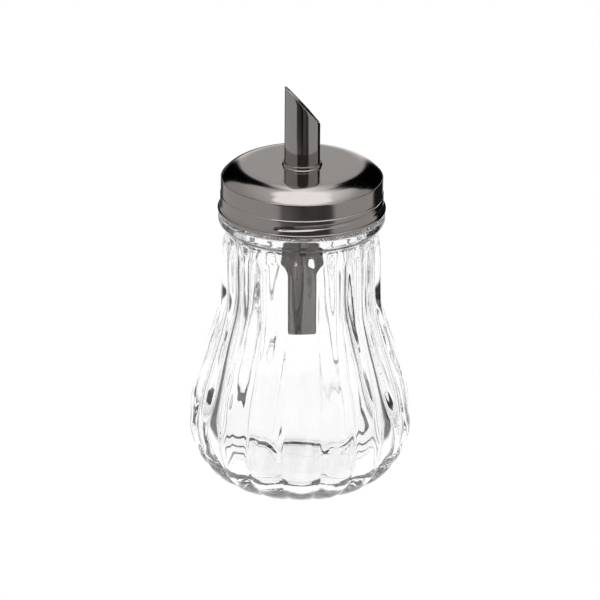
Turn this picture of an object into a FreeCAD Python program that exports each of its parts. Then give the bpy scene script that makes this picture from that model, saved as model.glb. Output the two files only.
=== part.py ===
import FreeCAD, Part
import math
import os
import Sketcher

# Sugar pourer: a lobed glass jar, a screw lid of drawn steel with a seal ring, and a pour tube.
# Frame: origin at the centre of the jar's underside, +Z up, one lobe facing -Y. Millimetres.

Vector = FreeCAD.Vector
Z_AXIS = Vector(0, 0, 1)
SHEET = "dimensions"
LOBE_COUNT = 18

DIMENSIONS = {
    "zero": 0.0,
    # jar, outside
    "neck_radius": 27.4,
    "lobe_top_height": 92.0,
    "bead_radius": 29.7,
    "bead_foot_height": 95.6,
    "bead_low_height": 98.0,
    "bead_high_height": 100.9,
    "finish_foot_height": 101.5,
    "finish_radius": 26.8,
    "rim_height": 114.7,
    "bead_round": 0.8,
    "rim_round": 1.5,
    # jar, inside
    "floor_height": 6.5,
    "cavity_floor_radius": 29.5,
    "cavity_belly_radius": 36.4,
    "cavity_belly_height": 21.0,
    "cavity_neck_height": 69.0,
    "mouth_radius": 23.9,
    "cavity_top_height": 116.0,
    "floor_round": 12.0,
    "belly_round": 22.0,
    "throat_round": 60.0,
    # hollow under the base
    "foot_ring_radius": 20.0,
    "push_up_radius": 14.0,
    "push_up_depth": 1.2,
    # lid, from the top down
    "steel": 0.5,
    "collar_radius": 6.9,
    "collar_height": 120.1,
    "lid_top_height": 118.9,
    "crease_height": 114.25,
    "skirt_radius": 28.85,
    "step_height": 108.45,
    "ring_radius": 29.05,
    "flare_height": 104.6,
    "flare_foot_height": 103.2,
    "flare_radius": 29.5,
    "hem_radius": 29.95,
    "hem_height": 102.0,
    "hem_wire_radius": 0.65,
    "shoulder_round": 12.0,
    "crease_round": 0.5,
    "collar_round": 0.4,
    # screw thread, two starts, right-handed
    "thread_lead": 6.0,
    "thread_arc": 110.0,
    "thread_start_angle": 249.0,
    "roll_start_height": 105.15,
    "roll_crest_radius": 27.45,
    "roll_foot_radius": 28.75,
    "roll_crest_half": 0.3,
    "roll_foot_half": 0.9,
    "groove_bed_half": 0.15,
    "groove_lip_half": 0.8,
    "ridge_crest_radius": 28.0,
    "ridge_foot_radius": 26.3,
    "ridge_crest_half": 0.25,
    "ridge_foot_half": 0.8,
    # seal ring
    "seal_inner_radius": 24.0,
    "seal_outer_radius": 25.5,
    "seal_inner_height": 117.35,
    "seal_outer_height": 116.55,
    "seal_gap": 0.04,
    "seal_round": 0.3,
    # pour tube
    "tube_radius": 6.33,
    "tube_wall": 0.5,
    "tube_foot_height": 56.3,
    "tube_tip_height": 148.7,
    "tube_cut_low_height": 134.2,
    "tube_cut_turn": 12.0,
}

# Slope of the lid's shoulder where it meets the skirt. The corners below follow from it.
SHOULDER_ANGLE = math.radians(51.0)
DIMENSIONS["shoulder_corner_radius"] = round(
    DIMENSIONS["skirt_radius"]
    - (DIMENSIONS["lid_top_height"] - DIMENSIONS["crease_height"]) / math.tan(SHOULDER_ANGLE),
    4,
)
DIMENSIONS["inner_corner_radius"] = round(
    DIMENSIONS["shoulder_corner_radius"] - DIMENSIONS["steel"] * math.tan(SHOULDER_ANGLE / 2), 4
)
DIMENSIONS["inner_crease_height"] = round(
    DIMENSIONS["crease_height"]
    - DIMENSIONS["steel"] * math.tan((math.pi / 2 - SHOULDER_ANGLE) / 2),
    4,
)

# Outline of the lobes: height, radius over the lobes' crests, depth of the grooves between them.
LOBE_STATIONS = [
    (0.0, 27.0, 1.2),
    (3.0, 31.6, 1.6),
    (10.0, 37.2, 1.9),
    (21.5, 40.2, 2.0),
    (35.0, 38.6, 1.9),
    (47.0, 35.1, 1.7),
    (59.0, 31.1, 1.5),
    (69.0, 29.0, 1.3),
    (79.0, 28.7, 1.1),
    (87.0, 28.4, 0.7),
]

document = FreeCAD.newDocument("sugar_pourer")


def make_sheet():
    """The spreadsheet that every other object reads its sizes from."""
    table = document.addObject("Spreadsheet::Sheet", SHEET)
    rows = dict(DIMENSIONS)
    for index, (height, radius, groove) in enumerate(LOBE_STATIONS):
        rows[f"lobe_height_{index}"] = height
        rows[f"lobe_radius_{index}"] = radius
        rows[f"lobe_groove_{index}"] = groove
    for row, (alias, number) in enumerate(rows.items(), start=1):
        table.set(f"A{row}", alias.replace("_", " "))
        table.set(f"B{row}", str(number))
        table.setAlias(f"B{row}", alias)
    document.recompute()
    return table


sheet = make_sheet()


def size(expression):
    """Number that a sum of sheet aliases, such as "ring_radius - steel", has now."""
    total = 0.0
    sign = 1.0
    for word in expression.split():
        if word in ("+", "-"):
            sign = 1.0 if word == "+" else -1.0
        else:
            total += sign * getattr(sheet, word)
    return total


def linked(expression):
    """The same sum written for setExpression, which needs the sheet's name before each alias."""
    words = expression.split()
    return " ".join(word if word in ("+", "-") else f"{SHEET}.{word}" for word in words)


def bind(item, **properties):
    """Bind an object's properties to sums of sheet aliases."""
    for name, expression in properties.items():
        item.setExpression(name, linked(expression))


def make(kind, name, **properties):
    """A document object with its properties bound to the sheet."""
    item = document.addObject(kind, name)
    bind(item, **properties)
    return item


def origin_plane(body, role):
    """One of a body's own origin planes."""
    return next(plane for plane in body.Origin.OriginFeatures if plane.Role == role)


def add_outline(sketch, corners):
    """Closed chain of lines whose corners are pairs of sums: distance right and distance up."""
    points = [Vector(size(right), size(up), 0) for right, up in corners]
    count = len(points)
    for index in range(count):
        sketch.addGeometry(Part.LineSegment(points[index], points[(index + 1) % count]), False)
    for index, (right, up) in enumerate(corners):
        sketch.addConstraint(Sketcher.Constraint("Coincident", index, 2, (index + 1) % count, 1))
        place_point(sketch, index, "DistanceX", points[index].x, right)
        place_point(sketch, index, "DistanceY", points[index].y, up)


def place_point(sketch, edge, direction, distance, expression):
    """Fix the start of an edge at a bound distance from the sketch's origin."""
    place = sketch.addConstraint(Sketcher.Constraint(direction, -1, 1, edge, 1, distance))
    sketch.setExpression(f"Constraints[{place}]", linked(expression))


def turned_body(name, corners):
    """Body turned about the Z axis from an outline of (radius, height) corners."""
    body = document.addObject("PartDesign::Body", name)
    sketch = body.newObject("Sketcher::SketchObject", f"{name}_outline")
    sketch.AttachmentSupport = (origin_plane(body, "XZ_Plane"), [""])
    sketch.MapMode = "FlatFace"
    add_outline(sketch, corners)
    turned = body.newObject("PartDesign::Revolution", f"{name}_turned")
    turned.Profile = sketch
    turned.ReferenceAxis = (sketch, ["V_Axis"])
    turned.Angle = 360.0
    document.recompute()
    return body


def round_edges(body, places, radius):
    """Fillet the circular edges of a turned body at the given (radius, height) corners."""
    wanted = [(size(right), size(up)) for right, up in places]
    base = body.Tip
    names = []
    for index, edge in enumerate(base.Shape.Edges, start=1):
        circle = edge.Curve
        if not isinstance(circle, Part.Circle):
            continue
        place = (circle.Radius, circle.Center.z)
        if any(math.dist(place, spot) < 0.01 for spot in wanted):
            names.append(f"Edge{index}")
    if len(names) != len(wanted):
        raise RuntimeError(f"{body.Name}: {len(names)} edges found for {len(wanted)} rounds")
    fillet = body.newObject("PartDesign::Fillet", f"{body.Name}_{radius}")
    fillet.Base = (base, names)
    bind(fillet, Radius=radius)
    document.recompute()


def helical_bar(name, start_height, turn, corners):
    """Bar with a four-cornered section along the thread's helix, one of the thread's starts."""
    helix = make("Part::Helix", f"{name}_helix", Pitch="thread_lead", Radius="ring_radius")
    helix.setExpression("Height", f"{SHEET}.thread_lead * {SHEET}.thread_arc / 360")
    section = document.addObject("Sketcher::SketchObject", f"{name}_section")
    section.Placement = FreeCAD.Placement(Vector(), FreeCAD.Rotation(Vector(1, 0, 0), 90))
    add_outline(section, corners)
    bar = document.addObject("Part::Sweep", name)
    bar.Sections = [section]
    bar.Spine = (helix, ["Edge1"])
    bar.Solid = True
    bar.Frenet = True
    angle = size("thread_start_angle") + turn
    bar.Placement = FreeCAD.Placement(
        Vector(0, 0, start_height), FreeCAD.Rotation(Z_AXIS, angle)
    )
    return bar


def both_starts(name, start_height, corners):
    """The two starts of one thread, half a turn apart."""
    return [helical_bar(f"{name}_{turn}", start_height, turn, corners) for turn in (0, 180)]


def lobed_section(height, radius, groove):
    """Closed wire of convex arcs that meet in grooves, one arc for each lobe."""
    step = 360.0 / LOBE_COUNT

    def point(degrees, distance):
        angle = math.radians(degrees)
        return Vector(distance * math.cos(angle), distance * math.sin(angle), height)

    arcs = []
    for lobe in range(LOBE_COUNT):
        crest = -90.0 + lobe * step
        start = point(crest - step / 2, radius - groove)
        end = point(crest + step / 2, radius - groove)
        arcs.append(Part.Arc(start, point(crest, radius), end).toShape())
    return Part.Wire(arcs)


def make_lobes():
    """Solid belly: lobed sections joined into one smooth skin, fading to a plain round neck."""
    stations = range(len(LOBE_STATIONS))
    sections = []
    for index in stations:
        height, radius, groove = (
            getattr(sheet, f"lobe_{part}_{index}") for part in ("height", "radius", "groove")
        )
        sections.append(lobed_section(height, radius, groove))
    sections.append(lobed_section(size("lobe_top_height"), size("neck_radius"), 0.0))
    lobes = document.addObject("Part::Feature", "jar_lobes")
    lobes.Shape = Part.makeLoft(sections, True, False)
    return lobes


def make_jar():
    """Glass jar: lobed belly, round neck with a bead, threaded finish, hollow inside."""
    neck = turned_body(
        "jar_neck",
        [
            ("zero", "lobe_top_height"),
            ("neck_radius", "lobe_top_height"),
            ("neck_radius", "bead_foot_height"),
            ("bead_radius", "bead_low_height"),
            ("bead_radius", "bead_high_height"),
            ("finish_radius", "finish_foot_height"),
            ("finish_radius", "rim_height"),
            ("zero", "rim_height"),
        ],
    )
    bead_edges = [("bead_radius", "bead_low_height"), ("bead_radius", "bead_high_height")]
    round_edges(neck, bead_edges, "bead_round")
    round_edges(neck, [("finish_radius", "rim_height")], "rim_round")

    cavity = turned_body(
        "jar_cavity",
        [
            ("zero", "floor_height"),
            ("cavity_floor_radius", "floor_height"),
            ("cavity_belly_radius", "cavity_belly_height"),
            ("mouth_radius", "cavity_neck_height"),
            ("mouth_radius", "cavity_top_height"),
            ("zero", "cavity_top_height"),
        ],
    )
    round_edges(cavity, [("cavity_floor_radius", "floor_height")], "floor_round")
    round_edges(cavity, [("cavity_belly_radius", "cavity_belly_height")], "belly_round")
    round_edges(cavity, [("mouth_radius", "cavity_neck_height")], "throat_round")

    push_up = make(
        "Part::Cone",
        "jar_push_up",
        Radius1="foot_ring_radius",
        Radius2="push_up_radius",
        Height="push_up_depth",
    )
    ridges = both_starts(
        "jar_ridge",
        size("roll_start_height") + size("thread_lead") / 4,
        [
            ("ridge_foot_radius", "zero - ridge_foot_half"),
            ("ridge_crest_radius", "zero - ridge_crest_half"),
            ("ridge_crest_radius", "ridge_crest_half"),
            ("ridge_foot_radius", "ridge_foot_half"),
        ],
    )
    glass = document.addObject("Part::MultiFuse", "jar_glass")
    glass.Shapes = [make_lobes(), neck, *ridges]
    hollows = document.addObject("Part::MultiFuse", "jar_hollows")
    hollows.Shapes = [cavity, push_up]
    jar = document.addObject("Part::Cut", "jar")
    jar.Base = glass
    jar.Tool = hollows
    return jar


def make_lid():
    """Screw lid drawn from one sheet: collar, flat top, wide shoulder, skirt, thread ring and hem."""
    inner_step_height = "step_height - steel"
    inner_top_height = "lid_top_height - steel"
    hem_middle_height = "hem_height + hem_wire_radius"
    shell = turned_body(
        "lid_shell",
        [
            ("collar_radius - steel", "collar_height"),
            ("collar_radius", "collar_height"),
            ("collar_radius", "lid_top_height"),
            ("shoulder_corner_radius", "lid_top_height"),
            ("skirt_radius", "crease_height"),
            ("skirt_radius", "step_height"),
            ("ring_radius", "step_height"),
            ("ring_radius", "flare_height"),
            ("flare_radius", "flare_foot_height"),
            ("flare_radius", hem_middle_height),
            ("flare_radius - steel", hem_middle_height),
            ("flare_radius - steel", "flare_foot_height"),
            ("ring_radius - steel", "flare_height"),
            ("ring_radius - steel", inner_step_height),
            ("skirt_radius - steel", inner_step_height),
            ("skirt_radius - steel", "inner_crease_height"),
            ("inner_corner_radius", inner_top_height),
            ("collar_radius - steel", inner_top_height),
        ],
    )
    round_edges(shell, [("shoulder_corner_radius", "lid_top_height")], "shoulder_round")
    round_edges(shell, [("inner_corner_radius", inner_top_height)], "shoulder_round - steel")
    round_edges(shell, [("skirt_radius", "crease_height")], "crease_round")
    round_edges(shell, [("collar_radius", "lid_top_height")], "collar_round")
    round_edges(shell, [("collar_radius - steel", inner_top_height)], "collar_round + steel")

    hem = make("Part::Torus", "lid_hem", Radius2="hem_wire_radius")
    hem.setExpression("Radius1", linked("hem_radius - hem_wire_radius"))
    hem.setExpression("Placement.Base.z", linked(hem_middle_height))
    rolls = both_starts(
        "lid_roll",
        size("roll_start_height"),
        [
            ("roll_crest_radius", "zero - roll_crest_half"),
            ("roll_foot_radius", "zero - roll_foot_half"),
            ("roll_foot_radius", "roll_foot_half"),
            ("roll_crest_radius", "roll_crest_half"),
        ],
    )
    grooves = both_starts(
        "lid_groove",
        size("roll_start_height"),
        [
            ("roll_crest_radius + steel", "zero - groove_bed_half"),
            ("roll_foot_radius + steel", "zero - groove_lip_half"),
            ("roll_foot_radius + steel", "groove_lip_half"),
            ("roll_crest_radius + steel", "groove_bed_half"),
        ],
    )
    steel = document.addObject("Part::MultiFuse", "lid_steel")
    steel.Shapes = [shell, hem, *rolls]
    groove_pair = document.addObject("Part::MultiFuse", "lid_grooves")
    groove_pair.Shapes = grooves
    lid = document.addObject("Part::Cut", "lid_cap")
    lid.Base = steel
    lid.Tool = groove_pair
    return lid


def make_seal():
    """Soft ring between the jar's rim and the lid, with a top that slopes like the shoulder."""
    body = turned_body(
        "seal_ring",
        [
            ("seal_inner_radius", "rim_height + seal_gap"),
            ("seal_outer_radius", "rim_height + seal_gap"),
            ("seal_outer_radius", "seal_outer_height"),
            ("seal_inner_radius", "seal_inner_height"),
        ],
    )
    round_edges(body, [("seal_outer_radius", "seal_outer_height")], "seal_round")
    return body


def make_tube():
    """Dip tube and spout in one: square cut at the foot, slanted cut at the tip."""
    outside = make("Part::Cylinder", "tube_outside", Radius="tube_radius")
    bore = make("Part::Cylinder", "tube_bore", Radius="tube_radius - tube_wall")
    for cylinder in (outside, bore):
        bind(cylinder, Height="tube_tip_height - tube_foot_height")
        cylinder.setExpression("Placement.Base.z", linked("tube_foot_height"))
    wall = document.addObject("Part::Cut", "tube_wall_only")
    wall.Base = outside
    wall.Tool = bore

    drop = size("tube_tip_height - tube_cut_low_height")
    diameter = 2 * size("tube_radius")
    slant = math.degrees(math.atan2(drop, diameter))
    cutter = make("Part::Box", "tube_cutter", Length="tube_tip_height", Height="tube_tip_height")
    bind(cutter, Width="tube_tip_height")
    turn = FreeCAD.Rotation(Z_AXIS, size("tube_cut_turn"))
    lean = FreeCAD.Rotation(Vector(0, 1, 0), slant)
    tip = turn.multVec(Vector(-size("tube_radius"), 0, size("tube_tip_height")))
    half = turn.multVec(Vector(0, size("tube_tip_height") / 2, 0))
    cutter.Placement = FreeCAD.Placement(tip - half, turn * lean)
    tube = document.addObject("Part::Cut", "pour_tube")
    tube.Base = wall
    tube.Tool = cutter
    return tube


def check(item):
    """Stop if an object failed or has no valid shape."""
    if {"Invalid", "Error"} & set(item.State):
        raise RuntimeError(f"{item.Name}: {item.State}")


def main():
    nodes = [make_jar(), make_lid(), make_seal(), make_tube()]
    document.recompute()
    for item in document.Objects:
        check(item)
    os.makedirs("parts", exist_ok=True)
    for node in nodes:
        shape = node.Shape
        if shape.isNull() or not shape.isValid():
            raise RuntimeError(f"{node.Label}: bad shape")
        print(node.Label, len(shape.Solids), "solid", round(shape.Volume / 1000, 2), "cm3")
        shape.exportStep(f"parts/{node.Label}.step")


main()
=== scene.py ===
import math

import bpy
import numpy as np
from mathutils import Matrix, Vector


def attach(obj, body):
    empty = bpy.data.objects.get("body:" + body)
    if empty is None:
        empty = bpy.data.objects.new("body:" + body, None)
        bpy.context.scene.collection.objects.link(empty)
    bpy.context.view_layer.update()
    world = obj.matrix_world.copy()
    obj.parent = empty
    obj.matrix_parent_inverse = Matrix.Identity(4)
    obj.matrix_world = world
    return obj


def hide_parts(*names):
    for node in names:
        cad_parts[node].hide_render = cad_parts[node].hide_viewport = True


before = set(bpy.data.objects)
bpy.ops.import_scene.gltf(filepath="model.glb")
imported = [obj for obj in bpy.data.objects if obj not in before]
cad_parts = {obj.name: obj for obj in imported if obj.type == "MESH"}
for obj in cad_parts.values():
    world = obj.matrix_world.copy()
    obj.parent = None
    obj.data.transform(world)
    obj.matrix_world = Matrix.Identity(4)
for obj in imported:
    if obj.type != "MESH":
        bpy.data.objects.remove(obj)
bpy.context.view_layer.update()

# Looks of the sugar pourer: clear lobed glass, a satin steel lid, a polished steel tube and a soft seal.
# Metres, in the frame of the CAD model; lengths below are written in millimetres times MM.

MM = 0.001

# ---------------------------------------------------------------- sizes of the pieces
LOBES = 18
LOBE_STEP = 2 * math.pi / LOBES
FRONT = -math.pi / 2

# Height, radius over the crests, depth of the grooves. The lobes run out in arches at the top.
BELLY = np.array([
    (0.0, 27.0, 1.2),
    (3.0, 31.6, 1.6),
    (10.0, 37.2, 1.9),
    (21.5, 40.2, 2.0),
    (35.0, 38.6, 1.9),
    (47.0, 35.1, 1.7),
    (59.0, 31.1, 1.5),
    (69.0, 29.0, 1.3),
    (79.0, 28.75, 1.2),
    (86.0, 28.6, 1.1),
    (89.5, 28.1, 1.1),
    (91.5, 27.3, 1.1),
    (93.0, 26.0, 1.1),
]) * MM

LOBE_TOP = 93.0 * MM
NECK_RADIUS = 27.4 * MM
BEAD_RADIUS = 29.7 * MM
BEAD_LOW = 98.0 * MM
BEAD_HIGH = 100.9 * MM
FINISH_FOOT = 101.5 * MM
FINISH_RADIUS = 26.8 * MM
RIM_HEIGHT = 114.7 * MM
MOUTH_RADIUS = 23.9 * MM
FLOOR_HEIGHT = 6.5 * MM
FOOT_INNER = 20.0 * MM
FOOT_OUTER = 25.6 * MM
UNDER_HOLLOW = 1.2 * MM

STEEL = 0.5 * MM
COLLAR_RADIUS = 6.9 * MM
COLLAR_TOP = 120.1 * MM
LID_TOP = 118.9 * MM
SHOULDER_ROUND = 12.0 * MM
SHOULDER_START = 19.36 * MM
SHOULDER_ANGLE = math.radians(51.0)
SHOULDER_END = 114.25 * MM
SKIRT_RADIUS = 28.85 * MM
RING_RADIUS = 29.05 * MM
RING_TOP = 108.45 * MM
FLARE_HEIGHT = 104.6 * MM
CURL_MIDDLE = (29.3 * MM, 102.66 * MM)
CURL_RADIUS = 0.65 * MM

THREAD_LEAD = 6.0 * MM
THREAD_ARC = math.radians(110.0)
THREAD_START = math.radians(249.0)
ROLL_START_HEIGHT = 105.15 * MM
ROLL_DEPTH = 0.8 * MM
ROLL_WIDTH = 0.95 * MM
RIDGE_HEIGHT = 1.1 * MM
RIDGE_WIDTH = 0.75 * MM

TUBE_RADIUS = 6.33 * MM
TUBE_FOOT = 56.3 * MM
TIP_HIGH = 148.7 * MM
TIP_LOW = 134.2 * MM
TIP_TURN = math.radians(12.0)

SEAL_INNER = 24.0 * MM
SEAL_OUTER = 25.5 * MM
SEAL_LOW = 114.74 * MM

# ---------------------------------------------------------------- fineness of the meshes
JAR_COLUMNS = LOBES * 20
LID_COLUMNS = 360
ROUND_COLUMNS = 160
TUBE_ROWS = 60


# ---------------------------------------------------------------- mesh helpers
def smooth_table(table, heights):
    """Values of a table's columns at the given heights, by cubic pieces with no overshoot."""
    x = table[:, 0]
    step = np.diff(x)
    result = []
    for column in table.T[1:]:
        slope = np.diff(column) / step
        tangent = np.zeros_like(column)
        same = slope[:-1] * slope[1:] > 0
        mean = 2 * slope[:-1] * slope[1:] / np.where(same, slope[:-1] + slope[1:], 1.0)
        tangent[1:-1] = np.where(same, mean, 0.0)
        tangent[0], tangent[-1] = slope[0], slope[-1]
        k = np.clip(np.searchsorted(x, heights) - 1, 0, len(x) - 2)
        u = (heights - x[k]) / step[k]
        result.append(
            column[k] * (1 + 2 * u) * (1 - u) ** 2
            + tangent[k] * step[k] * u * (1 - u) ** 2
            + column[k + 1] * u**2 * (3 - 2 * u)
            + tangent[k + 1] * step[k] * u**2 * (u - 1)
        )
    return result


def smooth_step(low, high, value):
    """0 below low, 1 above high, smooth between."""
    u = np.clip((value - low) / (high - low), 0.0, 1.0)
    return u * u * (3 - 2 * u)


def soft_max(a, b, blend):
    """The larger of two numbers, rounded where they cross."""
    return 0.5 * (a + b + np.sqrt((a - b) ** 2 + blend**2))


def rounded_path(corners, arc_points=10):
    """Points of a line chain in (radius, height) whose corners (r, z, round) are tangent arcs."""
    points = []
    count = len(corners)
    for index, (r, z, radius) in enumerate(corners):
        here = np.array((r, z))
        if radius <= 0 or index in (0, count - 1):
            points.append(here)
            continue
        before = np.array(corners[index - 1][:2]) - here
        after = np.array(corners[index + 1][:2]) - here
        before /= np.linalg.norm(before)
        after /= np.linalg.norm(after)
        half = math.acos(np.clip(before @ after, -1, 1)) / 2
        centre = here + (before + after) / np.linalg.norm(before + after) * radius / math.sin(half)
        start = here + before * radius / math.tan(half) - centre
        end = here + after * radius / math.tan(half) - centre
        sweep = math.pi - 2 * half
        for share in np.linspace(0, 1, arc_points):
            weight = math.sin((1 - share) * sweep), math.sin(share * sweep)
            points.append(centre + (weight[0] * start + weight[1] * end) / math.sin(sweep))
    return np.array(points)


def arc(centre, radius, start, end, points):
    """Points of an arc in (radius, height) from a start to an end angle in degrees."""
    turn = np.radians(np.linspace(start, end, points))
    return np.array(centre) + radius * np.stack([np.cos(turn), np.sin(turn)], -1)


def evenly(path, gap):
    """The same path with extra points so that no step is longer than gap."""
    points = [path[0]]
    for a, b in zip(path[:-1], path[1:]):
        pieces = max(1, math.ceil(np.linalg.norm(b - a) / gap))
        points.extend(a + (b - a) * share for share in np.linspace(0, 1, pieces + 1)[1:])
    return np.array(points)


def add_grid(name, radius, angle, height, closed, poles=False):
    """Mesh from rows of rings; closed joins the last row to the first, poles cap both ends."""
    radius, angle, height = np.broadcast_arrays(radius, angle, height)
    rows, columns = radius.shape
    co = np.stack([radius * np.cos(angle), radius * np.sin(angle), height], -1).reshape(-1, 3)
    row = np.arange(rows if closed else rows - 1)[:, None]
    column = np.arange(columns)[None, :]
    after = (column + 1) % columns
    below = (row + 1) % rows
    faces = np.stack(
        [row * columns + column, row * columns + after, below * columns + after, below * columns + column],
        -1,
    ).reshape(-1, 4).tolist()
    co = co.tolist()
    if poles:
        for start, flip in ((0, True), ((rows - 1) * columns, False)):
            middle = len(co)
            co.append([0.0, 0.0, float(height[start // columns, 0])])
            for a in range(columns):
                b = (a + 1) % columns
                faces.append((start + b, start + a, middle) if flip else (start + a, start + b, middle))
    mesh = bpy.data.meshes.new(name)
    mesh.from_pydata(co, [], faces)
    mesh.update()
    mesh.polygons.foreach_set("use_smooth", [True] * len(mesh.polygons))
    piece = bpy.data.objects.new(name, mesh)
    bpy.context.scene.collection.objects.link(piece)
    return piece


def ring_angles(count):
    """Evenly spaced angles once round, starting at the front."""
    return (FRONT + np.arange(count) * 2 * math.pi / count)[None, :]


# ---------------------------------------------------------------- jar
def lobed_radius(crest, groove, angle):
    """Radius of convex arcs meeting in softly rounded grooves, one lobe facing the front."""
    half = LOBE_STEP / 2
    soft = 0.12 * half
    local = (angle - FRONT + half) % LOBE_STEP - half
    to_groove = half - np.abs(local)
    local = half - (np.sqrt(to_groove**2 + soft**2) - soft * np.exp(-to_groove / (3 * soft)))
    local = np.clip(local, 0.0, half)
    low = crest - groove
    centre = (crest**2 - low**2) / (2 * (crest - low * math.cos(half)))
    arc_radius = crest - centre
    return centre * np.cos(local) + np.sqrt(np.maximum(arc_radius**2 - (centre * np.sin(local)) ** 2, 0.0))


def thread_bump(angle, height, first_height, width):
    """1 on the thread's crest, 0 away from it, fading in at both ends of each start."""
    turned = (angle - THREAD_START) % math.pi
    centre = first_height + THREAD_LEAD * turned / (2 * math.pi)
    along = turned / THREAD_ARC
    fade = smooth_step(-0.001, 0.06, along) * smooth_step(1.001, 0.92, along)
    across = np.clip(np.abs(height - centre) / width, 0, 1)
    return fade * (0.5 + 0.5 * np.cos(math.pi * across))


def inner_waves(angle, height):
    """Depth of the soft, uneven lobes on the jar's inside, which fade out at the mouth and the floor."""
    fade = smooth_step(99 * MM, 88 * MM, height) * smooth_step(10 * MM, 34 * MM, height)
    drift = 0.5 + 0.9 * np.sin(3 * angle + 35 * height)
    uneven = 0.4
    wave = np.cos(LOBES * (angle - FRONT) + drift) + uneven * np.sin(7 * angle + 60 * height)
    return fade * (1 + uneven - wave) * 0.4 * MM


def make_jar():
    """Clear glass jar: base, lobed belly, plain neck, bead, threaded finish and gently waved inside."""
    angle = ring_angles(JAR_COLUMNS)

    under = evenly(rounded_path([
        (0.6 * MM, UNDER_HOLLOW, 0),
        (14.0 * MM, UNDER_HOLLOW, 12 * MM),
        (FOOT_INNER, 0.0, 3 * MM),
        (FOOT_OUTER, 0.0, 0),
    ]), 1.0 * MM)
    heights = np.concatenate([
        np.linspace(0.0, 1.0, 6)[:-1] ** 2 * 3.0,
        np.linspace(3.0, 84.0, 100)[:-1],
        np.linspace(84.0, 93.8, 46),
    ]) * MM
    crest, groove = smooth_table(BELLY, np.minimum(heights, LOBE_TOP))
    belly = lobed_radius(crest[:, None], groove[:, None], angle)
    foot_edge, blend = 0.3 * MM, 0.12 * MM
    belly[0] -= foot_edge
    above = (heights > 75 * MM)[:, None]
    belly = np.where(above, soft_max(belly, NECK_RADIUS, blend) - blend / 4, belly)

    finish = evenly(rounded_path([
        (NECK_RADIUS, 93.9 * MM, 0),
        (NECK_RADIUS, 95.6 * MM, 3.0 * MM),
        (BEAD_RADIUS, BEAD_LOW, 2.2 * MM),
        (BEAD_RADIUS, BEAD_HIGH, 0.6 * MM),
        (FINISH_RADIUS, FINISH_FOOT, 0.6 * MM),
        (FINISH_RADIUS, RIM_HEIGHT, 1.5 * MM),
        (MOUTH_RADIUS, RIM_HEIGHT, 0.7 * MM),
        (MOUTH_RADIUS, 110 * MM, 0),
    ]), 0.35 * MM)
    ridge_start = ROLL_START_HEIGHT + THREAD_LEAD / 4
    ridge = thread_bump(angle, finish[:, 1][:, None], ridge_start, RIDGE_WIDTH)
    outside = (finish[:, 0] > FINISH_RADIUS - 0.5 * MM)[:, None]
    finish_radius = finish[:, 0][:, None] + np.where(outside, ridge * RIDGE_HEIGHT, 0.0)

    inside = evenly(rounded_path([
        (MOUTH_RADIUS, 109.8 * MM, 0),
        (MOUTH_RADIUS, 69 * MM, 60 * MM),
        (36.4 * MM, 21 * MM, 22 * MM),
        (29.5 * MM, FLOOR_HEIGHT, 12 * MM),
        (0.6 * MM, FLOOR_HEIGHT, 0),
    ], 24), 1.2 * MM)
    inner_height = inside[:, 1][:, None]
    inner_radius = inside[:, 0][:, None] - inner_waves(angle, inner_height)

    ones = np.ones_like(angle)
    radius = np.concatenate([under[:, 0][:, None] * ones, belly, finish_radius, inner_radius * ones])
    height = np.concatenate([under[:, 1], heights, finish[:, 1], inside[:, 1]])[:, None]
    return add_grid("glass_jar", radius, angle, height, closed=False, poles=True)


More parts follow.
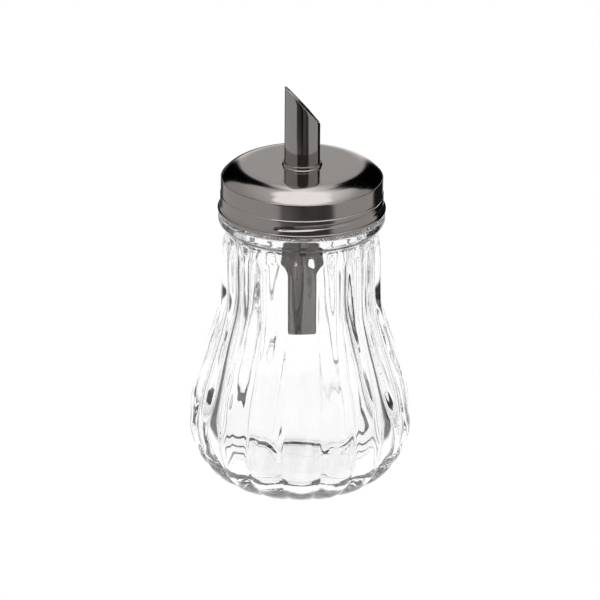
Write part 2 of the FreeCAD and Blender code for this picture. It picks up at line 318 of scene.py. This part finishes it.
# ---------------------------------------------------------------- lid, tube, seal
def make_lid():
    """Steel lid: collar, flat top, wide shoulder, skirt, thread ring with its groove, curled hem."""
    slope_end = 90 - math.degrees(SHOULDER_ANGLE)
    middle = (SHOULDER_START, LID_TOP - SHOULDER_ROUND)
    edge = 0.3 * MM
    outer = np.concatenate([
        rounded_path([
            (COLLAR_RADIUS - STEEL / 2, COLLAR_TOP, 0),
            (COLLAR_RADIUS, COLLAR_TOP, 0.22 * MM),
            (COLLAR_RADIUS, LID_TOP, 0.4 * MM),
            (SHOULDER_START, LID_TOP, 0),
        ]),
        arc(middle, SHOULDER_ROUND, 90, slope_end, 40)[1:],
        rounded_path([
            (SKIRT_RADIUS - edge, SHOULDER_END + edge * math.tan(SHOULDER_ANGLE), 0),
            (SKIRT_RADIUS, SHOULDER_END, edge),
            (SKIRT_RADIUS, RING_TOP + edge, 0.1 * MM),
            (SKIRT_RADIUS - 0.12 * MM, RING_TOP + 0.1 * MM, 0.1 * MM),
            (RING_RADIUS, RING_TOP - 0.15 * MM, 0.15 * MM),
            (RING_RADIUS, FLARE_HEIGHT, 1.0 * MM),
            (29.55 * MM, 103.5 * MM, 0.08 * MM),
            (29.32 * MM, 103.32 * MM, 0),
        ], 6),
        arc(CURL_MIDDLE, CURL_RADIUS, 82, -232, 32),
    ])
    inner = np.concatenate([
        rounded_path([
            (29.0 * MM, 103.35 * MM, 0),
            (RING_RADIUS - STEEL, FLARE_HEIGHT, 0.5 * MM),
            (RING_RADIUS - STEEL, RING_TOP - STEEL, 0.1 * MM),
            (SKIRT_RADIUS - STEEL, RING_TOP - STEEL + 0.2 * MM, 0.1 * MM),
            (SKIRT_RADIUS - STEEL, 114.07 * MM, 0),
        ], 5),
        arc(middle, SHOULDER_ROUND - STEEL, slope_end + 1, 90, 30),
        rounded_path([
            (SHOULDER_START - MM, LID_TOP - STEEL, 0),
            (COLLAR_RADIUS - STEEL, LID_TOP - STEEL, 0.9 * MM),
            (COLLAR_RADIUS - STEEL, COLLAR_TOP, 0.22 * MM),
            (COLLAR_RADIUS - STEEL / 2 - 0.01 * MM, COLLAR_TOP, 0),
        ]),
    ])
    path = evenly(np.concatenate([outer, inner]), 0.4 * MM)[::-1]
    angle = ring_angles(LID_COLUMNS)
    radius, height = path[:, 0][:, None], path[:, 1][:, None]
    groove = thread_bump(angle, height, ROLL_START_HEIGHT, ROLL_WIDTH)
    on_ring = (radius > RING_RADIUS - STEEL - 0.15 * MM) & (height > 103.4 * MM) & (height < RING_TOP)
    radius = radius - np.where(on_ring, groove * ROLL_DEPTH, 0.0)
    return add_grid("steel_lid", radius, angle, height, closed=True)


def make_tube():
    """Dip tube and spout: a thin tube with a straight foot and a slanted, thin-edged tip."""
    outside, inside = TUBE_RADIUS, TUBE_RADIUS - STEEL
    soft = 0.08 * MM
    soft_share = soft / (TIP_HIGH - TUBE_FOOT)
    wall = np.linspace(0.01, 0.995, TUBE_ROWS)
    steps = (
        [(outside - soft, 0.0), (outside, soft_share)]
        + [(outside, share) for share in wall]
        + [(outside - soft, 1.0), (inside + soft, 1.0)]
        + [(inside, share) for share in wall[::-1]]
        + [(inside, soft_share), (inside + soft, 0.0)]
    )
    angle = ring_angles(ROUND_COLUMNS)
    radius, share = [np.array(column)[:, None] for column in zip(*steps)]
    slant = (radius * np.cos(angle - TIP_TURN) + outside) / (2 * outside)
    cut = TIP_HIGH - slant * (TIP_HIGH - TIP_LOW)
    height = TUBE_FOOT + share * (cut - TUBE_FOOT)
    return add_grid("steel_tube", radius, angle, height, closed=True)


def make_seal():
    """Soft ring between the jar's rim and the lid, with a top that slopes like the shoulder."""
    middle = (SEAL_INNER + SEAL_OUTER) / 2
    path = evenly(rounded_path([
        (middle, SEAL_LOW, 0),
        (SEAL_OUTER, SEAL_LOW, 0.25 * MM),
        (SEAL_OUTER, 116.55 * MM, 0.4 * MM),
        (SEAL_INNER, 117.35 * MM, 0.25 * MM),
        (SEAL_INNER, SEAL_LOW, 0.25 * MM),
        (middle - 0.05 * MM, SEAL_LOW, 0),
    ]), 0.3 * MM)
    angle = ring_angles(ROUND_COLUMNS)
    return add_grid("soft_seal", path[:, 0][:, None], angle, path[:, 1][:, None], closed=True)


# ---------------------------------------------------------------- node helper
class Numbers:
    """Small helper that builds arithmetic out of shader nodes."""

    def __init__(self, tree):
        self.tree = tree

    def feed(self, socket, value):
        """Links a socket, or sets a plain number, on an input."""
        if isinstance(value, bpy.types.NodeSocket):
            self.tree.links.new(value, socket)
        else:
            socket.default_value = value

    def math(self, operation, *values):
        """One math node on sockets or plain numbers."""
        node = self.tree.nodes.new("ShaderNodeMath")
        node.operation = operation
        for socket, value in zip(node.inputs, values):
            self.feed(socket, value)
        return node.outputs[0]

    def add(self, a, b):
        return self.math("ADD", a, b)

    def minus(self, a, b):
        return self.math("SUBTRACT", a, b)

    def times(self, a, b):
        return self.math("MULTIPLY", a, b)

    def size(self, value):
        """The number without its sign."""
        return self.math("ABSOLUTE", value)

    def ramp(self, value, low, high, from_value=0.0, to_value=1.0):
        """Smooth change from one number to another as value goes from low to high."""
        node = self.tree.nodes.new("ShaderNodeMapRange")
        node.interpolation_type = "SMOOTHSTEP"
        settings = {
            "Value": value,
            "From Min": low,
            "From Max": high,
            "To Min": from_value,
            "To Max": to_value,
        }
        for name, number in settings.items():
            self.feed(node.inputs[name], number)
        return node.outputs["Result"]

    def band(self, value, low, high, soft):
        """1 between low and high, 0 outside, with edges soft wide."""
        rise = self.ramp(self.minus(value, low), -soft / 2, soft / 2)
        fall = self.ramp(self.minus(value, high), -soft / 2, soft / 2, 1.0, 0.0)
        return self.times(rise, fall)

    def mix(self, share, a, b):
        """a where share is 0, b where it is 1."""
        return self.add(self.times(self.minus(1.0, share), a), self.times(share, b))

    def parts(self, vector):
        """The x, y and z of a vector."""
        split = self.tree.nodes.new("ShaderNodeSeparateXYZ")
        self.tree.links.new(vector, split.inputs[0])
        return split.outputs

    def direction(self, vector):
        """Azimuth from the front, to the right, and elevation of a vector in degrees; level length."""
        x, y, z = self.parts(vector)
        azimuth = self.math("ARCTAN2", x, self.times(y, -1.0))
        level = self.math("SQRT", self.add(self.times(x, x), self.times(y, y)))
        elevation = self.math("ARCTAN2", z, level)
        degrees = 180 / math.pi
        return self.times(azimuth, degrees), self.times(elevation, degrees), level


# ---------------------------------------------------------------- materials
GLASS_IOR = 1.52
STEEL_COLOURS = (0.47, 0.434, 0.415, 1.0), (0.80, 0.752, 0.726, 1.0)
SEAL_COLOURS = (0.74, 0.74, 0.71, 1.0), (0.86, 0.86, 0.84, 1.0)
EVEN = (1.0, 1.0, 1.0)
UPRIGHT_GRAIN = (1.0, 1.0, 0.08)


def new_material(name):
    """A node material, its node tree, its Principled shader and the place on the object."""
    material = bpy.data.materials.new(name)
    material.use_nodes = True
    tree = material.node_tree
    place = tree.nodes.new("ShaderNodeTexCoord").outputs["Object"]
    return material, tree, tree.nodes["Principled BSDF"], place


def noise(tree, vector, scale, stretch, detail):
    """A noise texture on a stretched coordinate."""
    mapping = tree.nodes.new("ShaderNodeMapping")
    mapping.inputs["Scale"].default_value = stretch
    tree.links.new(vector, mapping.inputs["Vector"])
    texture = tree.nodes.new("ShaderNodeTexNoise")
    texture.inputs["Scale"].default_value = scale
    texture.inputs["Detail"].default_value = detail
    tree.links.new(mapping.outputs[0], texture.inputs["Vector"])
    return texture.outputs["Fac"]


def add_colours(tree, shader, share, colours):
    """Base colour between two colours by a share."""
    colour = tree.nodes.new("ShaderNodeMix")
    colour.data_type = "RGBA"
    colour.inputs["A"].default_value, colour.inputs["B"].default_value = colours
    tree.links.new(share, colour.inputs["Factor"])
    tree.links.new(colour.outputs["Result"], shader.inputs["Base Color"])


def add_bump(tree, shader, height, distance):
    """Relief of the given height in metres on a shader."""
    bump = tree.nodes.new("ShaderNodeBump")
    bump.inputs["Distance"].default_value = distance
    tree.links.new(height, bump.inputs["Height"])
    tree.links.new(bump.outputs[0], shader.inputs["Normal"])


def glass_material():
    """Clear glass with the long, soft waves and small swirls of a pressed casting."""
    material, tree, shader, place = new_material("clear_pressed_glass")
    n = Numbers(tree)
    shader.inputs["Base Color"].default_value = (1.0, 1.0, 1.0, 1.0)
    shader.inputs["Transmission Weight"].default_value = 1.0
    shader.inputs["Roughness"].default_value = 0.0
    shader.inputs["IOR"].default_value = GLASS_IOR
    long_waves = noise(tree, place, 110.0, (1.0, 1.0, 0.15), 1.5)
    swirls = noise(tree, place, 280.0, (1.0, 1.0, 0.35), 1.0)
    add_bump(tree, shader, n.add(long_waves, n.times(swirls, 0.1)), 0.45 * MM)
    return material


def steel_material(name, roughness, stretch):
    """Warm grey stainless steel with a fine grain and a slightly uneven polish."""
    material, tree, shader, place = new_material(name)
    n = Numbers(tree)
    grain = noise(tree, place, 2200.0, stretch, 3.0)
    patches = noise(tree, place, 60.0, EVEN, 3.0)
    add_colours(tree, shader, n.add(n.times(grain, 0.34), n.times(patches, 0.1)), STEEL_COLOURS)
    shader.inputs["Metallic"].default_value = 1.0
    n.feed(shader.inputs["Roughness"], n.add(roughness, n.times(patches, 0.05)))
    add_bump(tree, shader, grain, 0.004 * MM)
    return material


def seal_material():
    """Matt white silicone with a faint moulded texture."""
    material, tree, shader, place = new_material("white_silicone")
    grain = noise(tree, place, 900.0, EVEN, 4.0)
    add_colours(tree, shader, grain, SEAL_COLOURS)
    shader.inputs["Roughness"].default_value = 0.55
    add_bump(tree, shader, grain, 0.05 * MM)
    return material


# ---------------------------------------------------------------- stage
# Numbers without a unit are brightness. Azimuth is in degrees from the front to the right, elevation
# in degrees, reach in metres from the object's axis. Four numbers in a row are a ramp: from one angle
# to another, from one brightness or share to another.
TOP_LIGHT = 1.4
TOP_EDGE = (58, 84, 57.0, 68.5)
TOP_SOFT = (-3.5, 3.0)
WALL = 0.40
LEFT_WALL = (28, 70, 0.92 * WALL, 0.60)
RIGHT_WALL = (36, 68, 0.39, 0.95)
LEFT_TO_RIGHT = (-30, 40)
BACK_EDGE = (165, 173)
BACK_PANEL = (-4, 22, 0.95, 0.48)
BACK_CEILING = (34, 66, 0.0, 0.75)
GLASS_DARK = 0.44

FLAG_SPREAD = (40, 54)
FLAG_TOP = (50, 66, 1.0, 0.0)
FLAG_SOFT = 5
LEFT_FLAG = (-170, -139), (-164, -150)
RIGHT_FLAG = (121, 168), (134, 158)

FRONT_DARK = 0.055
FRONT_CARD = (-33, 42)
FRONT_TOP = (46, 54, 1.0, 0.0)
CARD_SOFT = 8

FLOOR_HALF = 10.0
SHEET_WHITE = 1.1
SHEET_HALF, SHEET_FRONT, SHEET_FLARE = 0.07, 0.045, 0.6
SHEET_SIDE_SOFT, SHEET_FRONT_SOFT = 0.01, 0.02
SHEET_REACH = (0.23, 0.265, 1.0, 0.0)
CLOSE_REACH = (0.235, 0.265, 1.0, 0.0)
FAR_REACH = (0.31, 0.36)
CARD_NEAR, CARD_FAR = (-30, 44), (-38, 38)
CARD_NEAR_SHADE = (-28, 8, 0.16, FRONT_DARK)
FAR_SHADE, STRIPE_SHADE, STRIPE_SOFT = 0.045, 0.035, 4
LIGHT_STRIPE, DARK_STRIPE = (5, 22), (-10, 3)
CLOSE_STRIPE, CLOSE_STRIPE_SOFT, CLOSE_LIGHT, CLOSE_DARK = (-28, -10), 6, 0.33, 0.08
RIGHT_FLAG_ON_TABLE, RIGHT_FLAG_DARK = ((116, 158), (116, 168)), 0.01
LEFT_FLAG_ON_TABLE, LEFT_FLAG_DARK = ((-170, -146), (-182, -146)), 0.07


def through_glass(n, light):
    """Darker walls for rays that come out of the glass, as black cards beside a glass would give."""
    inside = n.tree.nodes.new("ShaderNodeLightPath").outputs["Is Transmission Ray"]
    return n.times(light, n.mix(inside, 1.0, GLASS_DARK))


def changing_band(n, azimuth, share, edges, soft):
    """A band whose two edges go from one pair of angles to another as share goes from 0 to 1."""
    (low, high), (other_low, other_high) = edges
    return n.band(azimuth, n.mix(share, low, other_low), n.mix(share, high, other_high), soft)


def surroundings(n, azimuth, elevation):
    """Brightness of the studio by direction: walls, back panel, two black flags, dark front, soft box."""
    around = n.size(azimuth)
    left = n.ramp(elevation, *LEFT_WALL)
    right = n.ramp(elevation, *RIGHT_WALL)
    walls = through_glass(n, n.mix(n.ramp(azimuth, *LEFT_TO_RIGHT), left, right))
    back = n.add(n.ramp(elevation, *BACK_PANEL), n.ramp(elevation, *BACK_CEILING))
    light = n.mix(n.ramp(around, *BACK_EDGE), walls, back)

    spread = n.ramp(elevation, *FLAG_SPREAD)
    left_flag = changing_band(n, azimuth, spread, LEFT_FLAG, FLAG_SOFT)
    right_flag = changing_band(n, azimuth, spread, RIGHT_FLAG, FLAG_SOFT)
    flags = n.times(n.add(left_flag, right_flag), n.ramp(elevation, *FLAG_TOP))
    light = n.mix(flags, light, 0.0)

    front = n.times(n.band(azimuth, *FRONT_CARD, CARD_SOFT), n.ramp(elevation, *FRONT_TOP))
    light = n.mix(front, light, FRONT_DARK)

    over_edge = n.minus(elevation, n.ramp(around, *TOP_EDGE))
    return n.mix(n.ramp(over_edge, *TOP_SOFT), light, through_glass(n, TOP_LIGHT))


def table_light(n, place):
    """Brightness of the table by place: walls and flags as above, and a white sheet under the object."""
    azimuth, _, distance = n.direction(place)
    x, y, _ = n.parts(place)
    back = n.ramp(n.size(azimuth), *BACK_EDGE)
    light = n.mix(back, WALL, SHEET_WHITE)

    far = n.ramp(distance, *FAR_REACH)
    stripes = n.minus(
        n.band(azimuth, *LIGHT_STRIPE, STRIPE_SOFT), n.band(azimuth, *DARK_STRIPE, STRIPE_SOFT)
    )
    card_far = n.add(FAR_SHADE, n.times(stripes, STRIPE_SHADE))
    card = n.mix(far, n.ramp(azimuth, *CARD_NEAR_SHADE), card_far)
    light = n.mix(changing_band(n, azimuth, far, (CARD_NEAR, CARD_FAR), CARD_SOFT), light, card)
    for edges, dark in ((RIGHT_FLAG_ON_TABLE, RIGHT_FLAG_DARK), (LEFT_FLAG_ON_TABLE, LEFT_FLAG_DARK)):
        light = n.mix(changing_band(n, azimuth, far, edges, CARD_SOFT), light, dark)
    light = n.mix(back, through_glass(n, light), light)

    close = n.times(n.band(azimuth, *CARD_NEAR, CARD_SOFT), n.ramp(distance, *CLOSE_REACH))
    stripe = n.band(azimuth, *CLOSE_STRIPE, CLOSE_STRIPE_SOFT)
    light = n.mix(close, light, n.mix(stripe, CLOSE_LIGHT, CLOSE_DARK))

    side = n.minus(n.size(x), n.times(n.math("MAXIMUM", y, 0.0), SHEET_FLARE))
    beside = n.ramp(side, SHEET_HALF - SHEET_SIDE_SOFT, SHEET_HALF + SHEET_SIDE_SOFT, 1.0, 0.0)
    behind = n.ramp(y, -SHEET_FRONT, SHEET_FRONT_SOFT - SHEET_FRONT)
    sheet = n.times(n.times(beside, behind), n.ramp(distance, *SHEET_REACH))
    return n.mix(sheet, light, SHEET_WHITE)


def add_floor(name, height, material_name):
    """A wide shining plane, with its node tree and its emission shader."""
    half = FLOOR_HALF
    mesh = bpy.data.meshes.new(name)
    corners = [(-half, -half, 0), (half, -half, 0), (half, half, 0), (-half, half, 0)]
    mesh.from_pydata(corners, [], [(0, 1, 2, 3)])
    floor = bpy.data.objects.new(name, mesh)
    floor.location.z = height
    bpy.context.scene.collection.objects.link(floor)

    material = bpy.data.materials.new(material_name)
    material.use_nodes = True
    tree = material.node_tree
    tree.nodes.clear()
    shader = tree.nodes.new("ShaderNodeEmission")
    out = tree.nodes.new("ShaderNodeOutputMaterial")
    tree.links.new(shader.outputs[0], out.inputs["Surface"])
    mesh.materials.append(material)
    return floor, tree, shader


def make_floors():
    """A plain white floor for the camera, and the lit table that the glass and steel see."""
    floor, _, _ = add_floor("floor", -0.2 * MM, "floor_white")
    for ray in ("diffuse", "glossy", "transmission", "volume_scatter", "shadow"):
        setattr(floor, f"visible_{ray}", False)

    table, tree, shader = add_floor("table", -0.3 * MM, "table_light")
    table.visible_camera = False
    n = Numbers(tree)
    place = tree.nodes.new("ShaderNodeNewGeometry").outputs["Position"]
    n.feed(shader.inputs["Strength"], table_light(n, place))


def make_world():
    """The studio around the object, as light from each direction."""
    world = bpy.data.worlds.new("studio")
    bpy.context.scene.world = world
    world.use_nodes = True
    tree = world.node_tree
    n = Numbers(tree)
    azimuth, elevation, _ = n.direction(tree.nodes.new("ShaderNodeTexCoord").outputs["Generated"])
    background = tree.nodes["Background"]
    background.inputs["Color"].default_value = (1.0, 1.0, 1.0, 1.0)
    n.feed(background.inputs["Strength"], surroundings(n, azimuth, elevation))


# ---------------------------------------------------------------- camera
CAMERA_DISTANCE = 1.8
CAMERA_ELEVATION = math.radians(22.7)
CAMERA_AZIMUTH = math.radians(-1.0)
CAMERA_ROLL = math.radians(0.5)
CAMERA_AIM = Vector((-0.34 * MM, 0, 66.7 * MM))
LENS, SENSOR = 301.4, 36.0


def make_camera():
    """Long lens a little above the object, as the object is seen."""
    data = bpy.data.cameras.new("camera")
    data.sensor_width = SENSOR
    data.lens = LENS
    data.clip_end = 100.0
    camera = bpy.data.objects.new("camera", data)
    bpy.context.scene.collection.objects.link(camera)
    back = Vector((
        math.sin(CAMERA_AZIMUTH) * math.cos(CAMERA_ELEVATION),
        -math.cos(CAMERA_AZIMUTH) * math.cos(CAMERA_ELEVATION),
        math.sin(CAMERA_ELEVATION),
    ))
    camera.location = CAMERA_AIM + back * CAMERA_DISTANCE
    camera.rotation_euler = (-back).to_track_quat("-Z", "Y").to_matrix().to_euler()
    camera.rotation_euler.rotate_axis("Z", CAMERA_ROLL)
    bpy.context.scene.camera = camera


# ---------------------------------------------------------------- pieces, stage and view
for piece, node, body, slot, material in (
    (make_jar(), "jar", "jar", "glass", glass_material()),
    (make_lid(), "lid_cap", "lid", "lid_steel", steel_material("satin_steel", 0.09, EVEN)),
    (make_tube(), "pour_tube", "tube", "tube_steel", steel_material("polished_steel", 0.05, UPRIGHT_GRAIN)),
    (make_seal(), "seal_ring", "seal", "seal", seal_material()),
):
    piece.data.materials.append(material)
    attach(piece, body)
    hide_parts(node)

make_floors()
make_world()
make_camera()
scene = bpy.context.scene
scene.view_settings.view_transform = "Standard"
scene.cycles.max_bounces = 24
scene.cycles.transmission_bounces = 24
scene.cycles.glossy_bounces = 24
scene.cycles.transparent_max_bounces = 16
